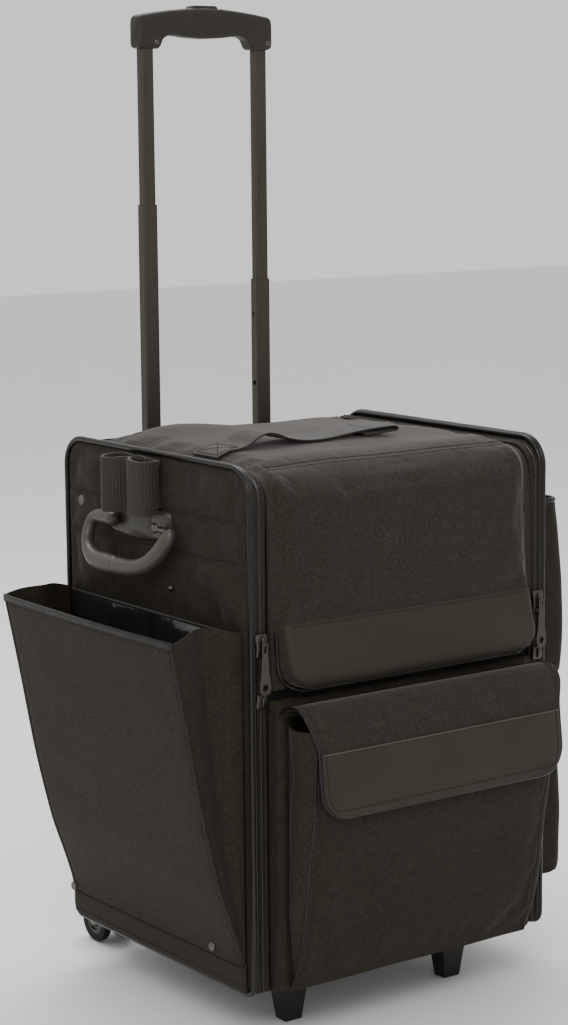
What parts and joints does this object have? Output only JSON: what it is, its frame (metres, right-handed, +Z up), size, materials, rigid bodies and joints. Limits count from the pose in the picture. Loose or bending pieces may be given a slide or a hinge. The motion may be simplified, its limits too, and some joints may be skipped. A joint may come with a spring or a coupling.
{
  "type": "rolling flight case",
  "caption": "Boxy padded pilot case on wheels with an extending trolley handle, a zip lid, a drop front and outside pockets.",
  "frame": {"origin": "on the floor, under the middle of the whole object's box", "axes": "+Z up; -Y is the front with the flap pocket; -X is the side with the carrying handle and the open pocket"},
  "size_m": [0.4836, 0.452, 0.979],
  "materials": {
    "body_fabric": "coarse plain-weave nylon, dark warm grey",
    "lid_fabric": "coarse plain-weave nylon with a faint cool sheen",
    "leatherette": "fine-grained coated fabric, satin",
    "piping": "coated cord, semi-gloss",
    "webbing": "ribbed polyester webbing",
    "lining": "thin plain lining",
    "clear_vinyl": "clear glossy film",
    "rail": "matt",
    "moulded_plastic": "fine moulded grain",
    "grip_plastic": "fine moulded grain",
    "soft_rubber": "satin, faint mould line",
    "tube_metal": "satin dark bronze anodised look",
    "tyre": "matt",
    "hub": "satin",
    "zip_metal": "dark worn nickel",
    "bright_metal": "bright, lightly worn"
  },
  "bodies": {
    "case": {"base_tray": "body_fabric", "rear_panel": "body_fabric", "side_panel_left": "body_fabric", "side_panel_right": "body_fabric", "side_piping": "piping", "zip_rims": "body_fabric", "zip_chains": "zip_metal", "front_rail": "rail", "lining": "lining", "hinge_strip": "body_fabric", "side_band_left": "body_fabric", "clear_sleeve": "clear_vinyl", "left_gusset_front": "body_fabric", "left_gusset_rear": "body_fabric", "right_upper_pocket": "body_fabric", "right_lower_pocket": "body_fabric", "keeper_loop": "webbing", "handle_plate": "moulded_plastic", "handle_screws": "bright_metal", "handle_pins": "bright_metal", "rivets": "bright_metal", "front_stand": "moulded_plastic", "trolley_base": "moulded_plastic", "outer_tube_left": "tube_metal", "outer_tube_right": "tube_metal", "tube_collar": "moulded_plastic"},
    "left_pocket": {"left_pocket_panel": "body_fabric"},
    "carry_handle": {"carry_handle": "soft_rubber"},
    "wheel_left": {"tyres_left": "tyre", "hubs_left": "hub", "axle_left": "bright_metal"},
    "wheel_right": {"tyres_right": "tyre", "hubs_right": "hub", "axle_right": "bright_metal"},
    "left_stage": {"middle_tube_left": "tube_metal"},
    "right_stage": {"middle_tube_right": "tube_metal"},
    "trolley_handle": {"inner_tube_left": "tube_metal", "inner_tube_right": "tube_metal", "lock_pins": "bright_metal", "grip": "grip_plastic", "grip_screws": "bright_metal"},
    "release_button": {"release_button": "grip_plastic", "release_rods": "bright_metal"},
    "lid": {"lid_panel": "lid_fabric", "lid_band": "leatherette", "lid_piping": "piping", "lid_strap": "webbing"},
    "drop_front": {"front_panel": "body_fabric", "front_pocket": "body_fabric", "front_gusset_left": "body_fabric", "front_gusset_right": "body_fabric"},
    "pocket_flap": {"pocket_flap": "lid_fabric"},
    "slider_upper_left": {"slider_upper_left": "zip_metal"},
    "slider_upper_right": {"slider_upper_right": "zip_metal"},
    "slider_lower_left": {"slider_lower_left": "zip_metal"},
    "slider_lower_right": {"slider_lower_right": "zip_metal"},
    "pull_left": {"pull_left": "zip_metal"},
    "pull_right": {"pull_right": "zip_metal"}
  },
  "joints": [
    {"name": "handle_slide", "type": "slide", "parent": "case", "child": "trolley_handle", "axis": [0, 0, 1], "range_m": [-0.372, 0]},
    {"name": "left_stage_slide", "type": "slide", "parent": "case", "child": "left_stage", "axis": [0, 0, 1], "range_m": [-0.2221, 0]},
    {"name": "right_stage_slide", "type": "slide", "parent": "case", "child": "right_stage", "axis": [0, 0, 1], "range_m": [-0.1411, 0]},
    {"name": "button_push", "type": "slide", "parent": "trolley_handle", "child": "release_button", "axis": [0, 0, -1], "range_m": [0, 0.004], "stiffness_N_per_m": 800, "springref_m": -0.002},
    {"name": "lid_hinge", "type": "hinge", "parent": "case", "child": "lid", "pos_m": [0.01875, 0.152, 0.543], "axis": [-1, 0, 0], "range_deg": [0, 80]},
    {"name": "drop_front_hinge", "type": "hinge", "parent": "case", "child": "drop_front", "pos_m": [0.01875, -0.156, 0.054], "axis": [1, 0, 0], "range_deg": [0, 85]},
    {"name": "pocket_flap_hinge", "type": "hinge", "parent": "drop_front", "child": "pocket_flap", "pos_m": [0.01875, -0.172, 0.322], "axis": [-1, 0, 0], "range_deg": [0, 35]},
    {"name": "left_pocket_hinge", "type": "hinge", "parent": "case", "child": "left_pocket", "pos_m": [-0.16425, 0.003, 0.082], "axis": [0, 1, 0], "range_deg": [0, 12]},
    {"name": "carry_handle_hinge", "type": "hinge", "parent": "case", "child": "carry_handle", "pos_m": [-0.17225, 0.0095, 0.481], "axis": [0, 1, 0], "range_deg": [0, 85]},
    {"name": "wheel_left_spin", "type": "hinge", "parent": "case", "child": "wheel_left", "pos_m": [-0.09375, 0.203, 0.023], "axis": [1, 0, 0], "continuous": true},
    {"name": "wheel_right_spin", "type": "hinge", "parent": "case", "child": "wheel_right", "pos_m": [0.13125, 0.203, 0.023], "axis": [1, 0, 0], "continuous": true},
    {"name": "slider_upper_left_slide", "type": "slide", "parent": "case", "child": "slider_upper_left", "axis": [0, 0, 1], "range_m": [0, 0.12]},
    {"name": "slider_lower_left_slide", "type": "slide", "parent": "case", "child": "slider_lower_left", "axis": [0, 0, -1], "range_m": [0, 0.255]},
    {"name": "pull_left_hinge", "type": "hinge", "parent": "slider_upper_left", "child": "pull_left", "pos_m": [-0.15125, -0.1674, 0.389], "axis": [-1, 0, 0], "range_deg": [0, 110]},
    {"name": "slider_upper_right_slide", "type": "slide", "parent": "case", "child": "slider_upper_right", "axis": [0, 0, 1], "range_m": [0, 0.12]},
    {"name": "slider_lower_right_slide", "type": "slide", "parent": "case", "child": "slider_lower_right", "axis": [0, 0, -1], "range_m": [0, 0.255]},
    {"name": "pull_right_hinge", "type": "hinge", "parent": "slider_upper_right", "child": "pull_right", "pos_m": [0.18875, -0.1674, 0.389], "axis": [-1, 0, 0], "range_deg": [0, 110]}
  ],
  "couplings": [
    {"joint": "left_stage_slide", "follows": "handle_slide", "ratio": 0.59677},
    {"joint": "right_stage_slide", "follows": "handle_slide", "ratio": 0.37903}
  ]
}
